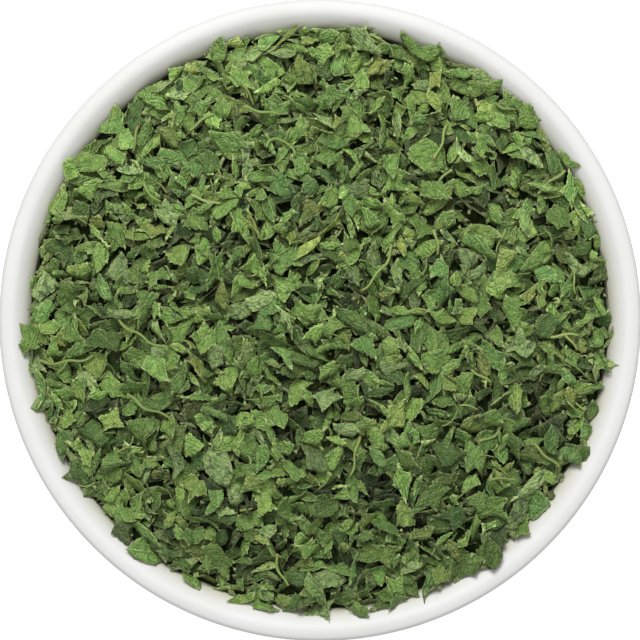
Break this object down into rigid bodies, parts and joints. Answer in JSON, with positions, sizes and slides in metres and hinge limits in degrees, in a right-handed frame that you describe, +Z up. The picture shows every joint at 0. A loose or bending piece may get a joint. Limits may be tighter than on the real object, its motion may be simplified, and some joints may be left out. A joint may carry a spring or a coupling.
{
  "type": "bowl of dried coriander leaf",
  "caption": "Round white porcelain bowl on a foot ring, heaped with dried, cut coriander leaf flakes and short bits of stem.",
  "frame": {"origin": "middle of the plane that the foot ring stands on, under the bowl's axis", "axes": "+Z up along the bowl's axis, out of its mouth; +Y is the top of the picture and +X its right"},
  "size_m": [0.14, 0.14, 0.0644],
  "materials": {
    "porcelain": "gloss",
    "dried_leaf": "matte",
    "dried_stem": "matte"
  },
  "bodies": {
    "root": {"bowl": "porcelain", "leaf_heap": "dried_leaf", "stem_01": "dried_stem", "stem_02": "dried_stem", "stem_03": "dried_stem", "stem_04": "dried_stem", "stem_05": "dried_stem", "stem_06": "dried_stem", "stem_07": "dried_stem", "stem_08": "dried_stem", "stem_09": "dried_stem", "stem_10": "dried_stem", "stem_11": "dried_stem", "stem_12": "dried_stem", "stem_13": "dried_stem", "stem_14": "dried_stem", "stem_15": "dried_stem", "stem_16": "dried_stem", "stem_17": "dried_stem", "stem_18": "dried_stem", "stem_19": "dried_stem", "stem_20": "dried_stem", "stem_21": "dried_stem", "stem_22": "dried_stem", "stem_23": "dried_stem", "stem_24": "dried_stem"}
  },
  "joints": []
}
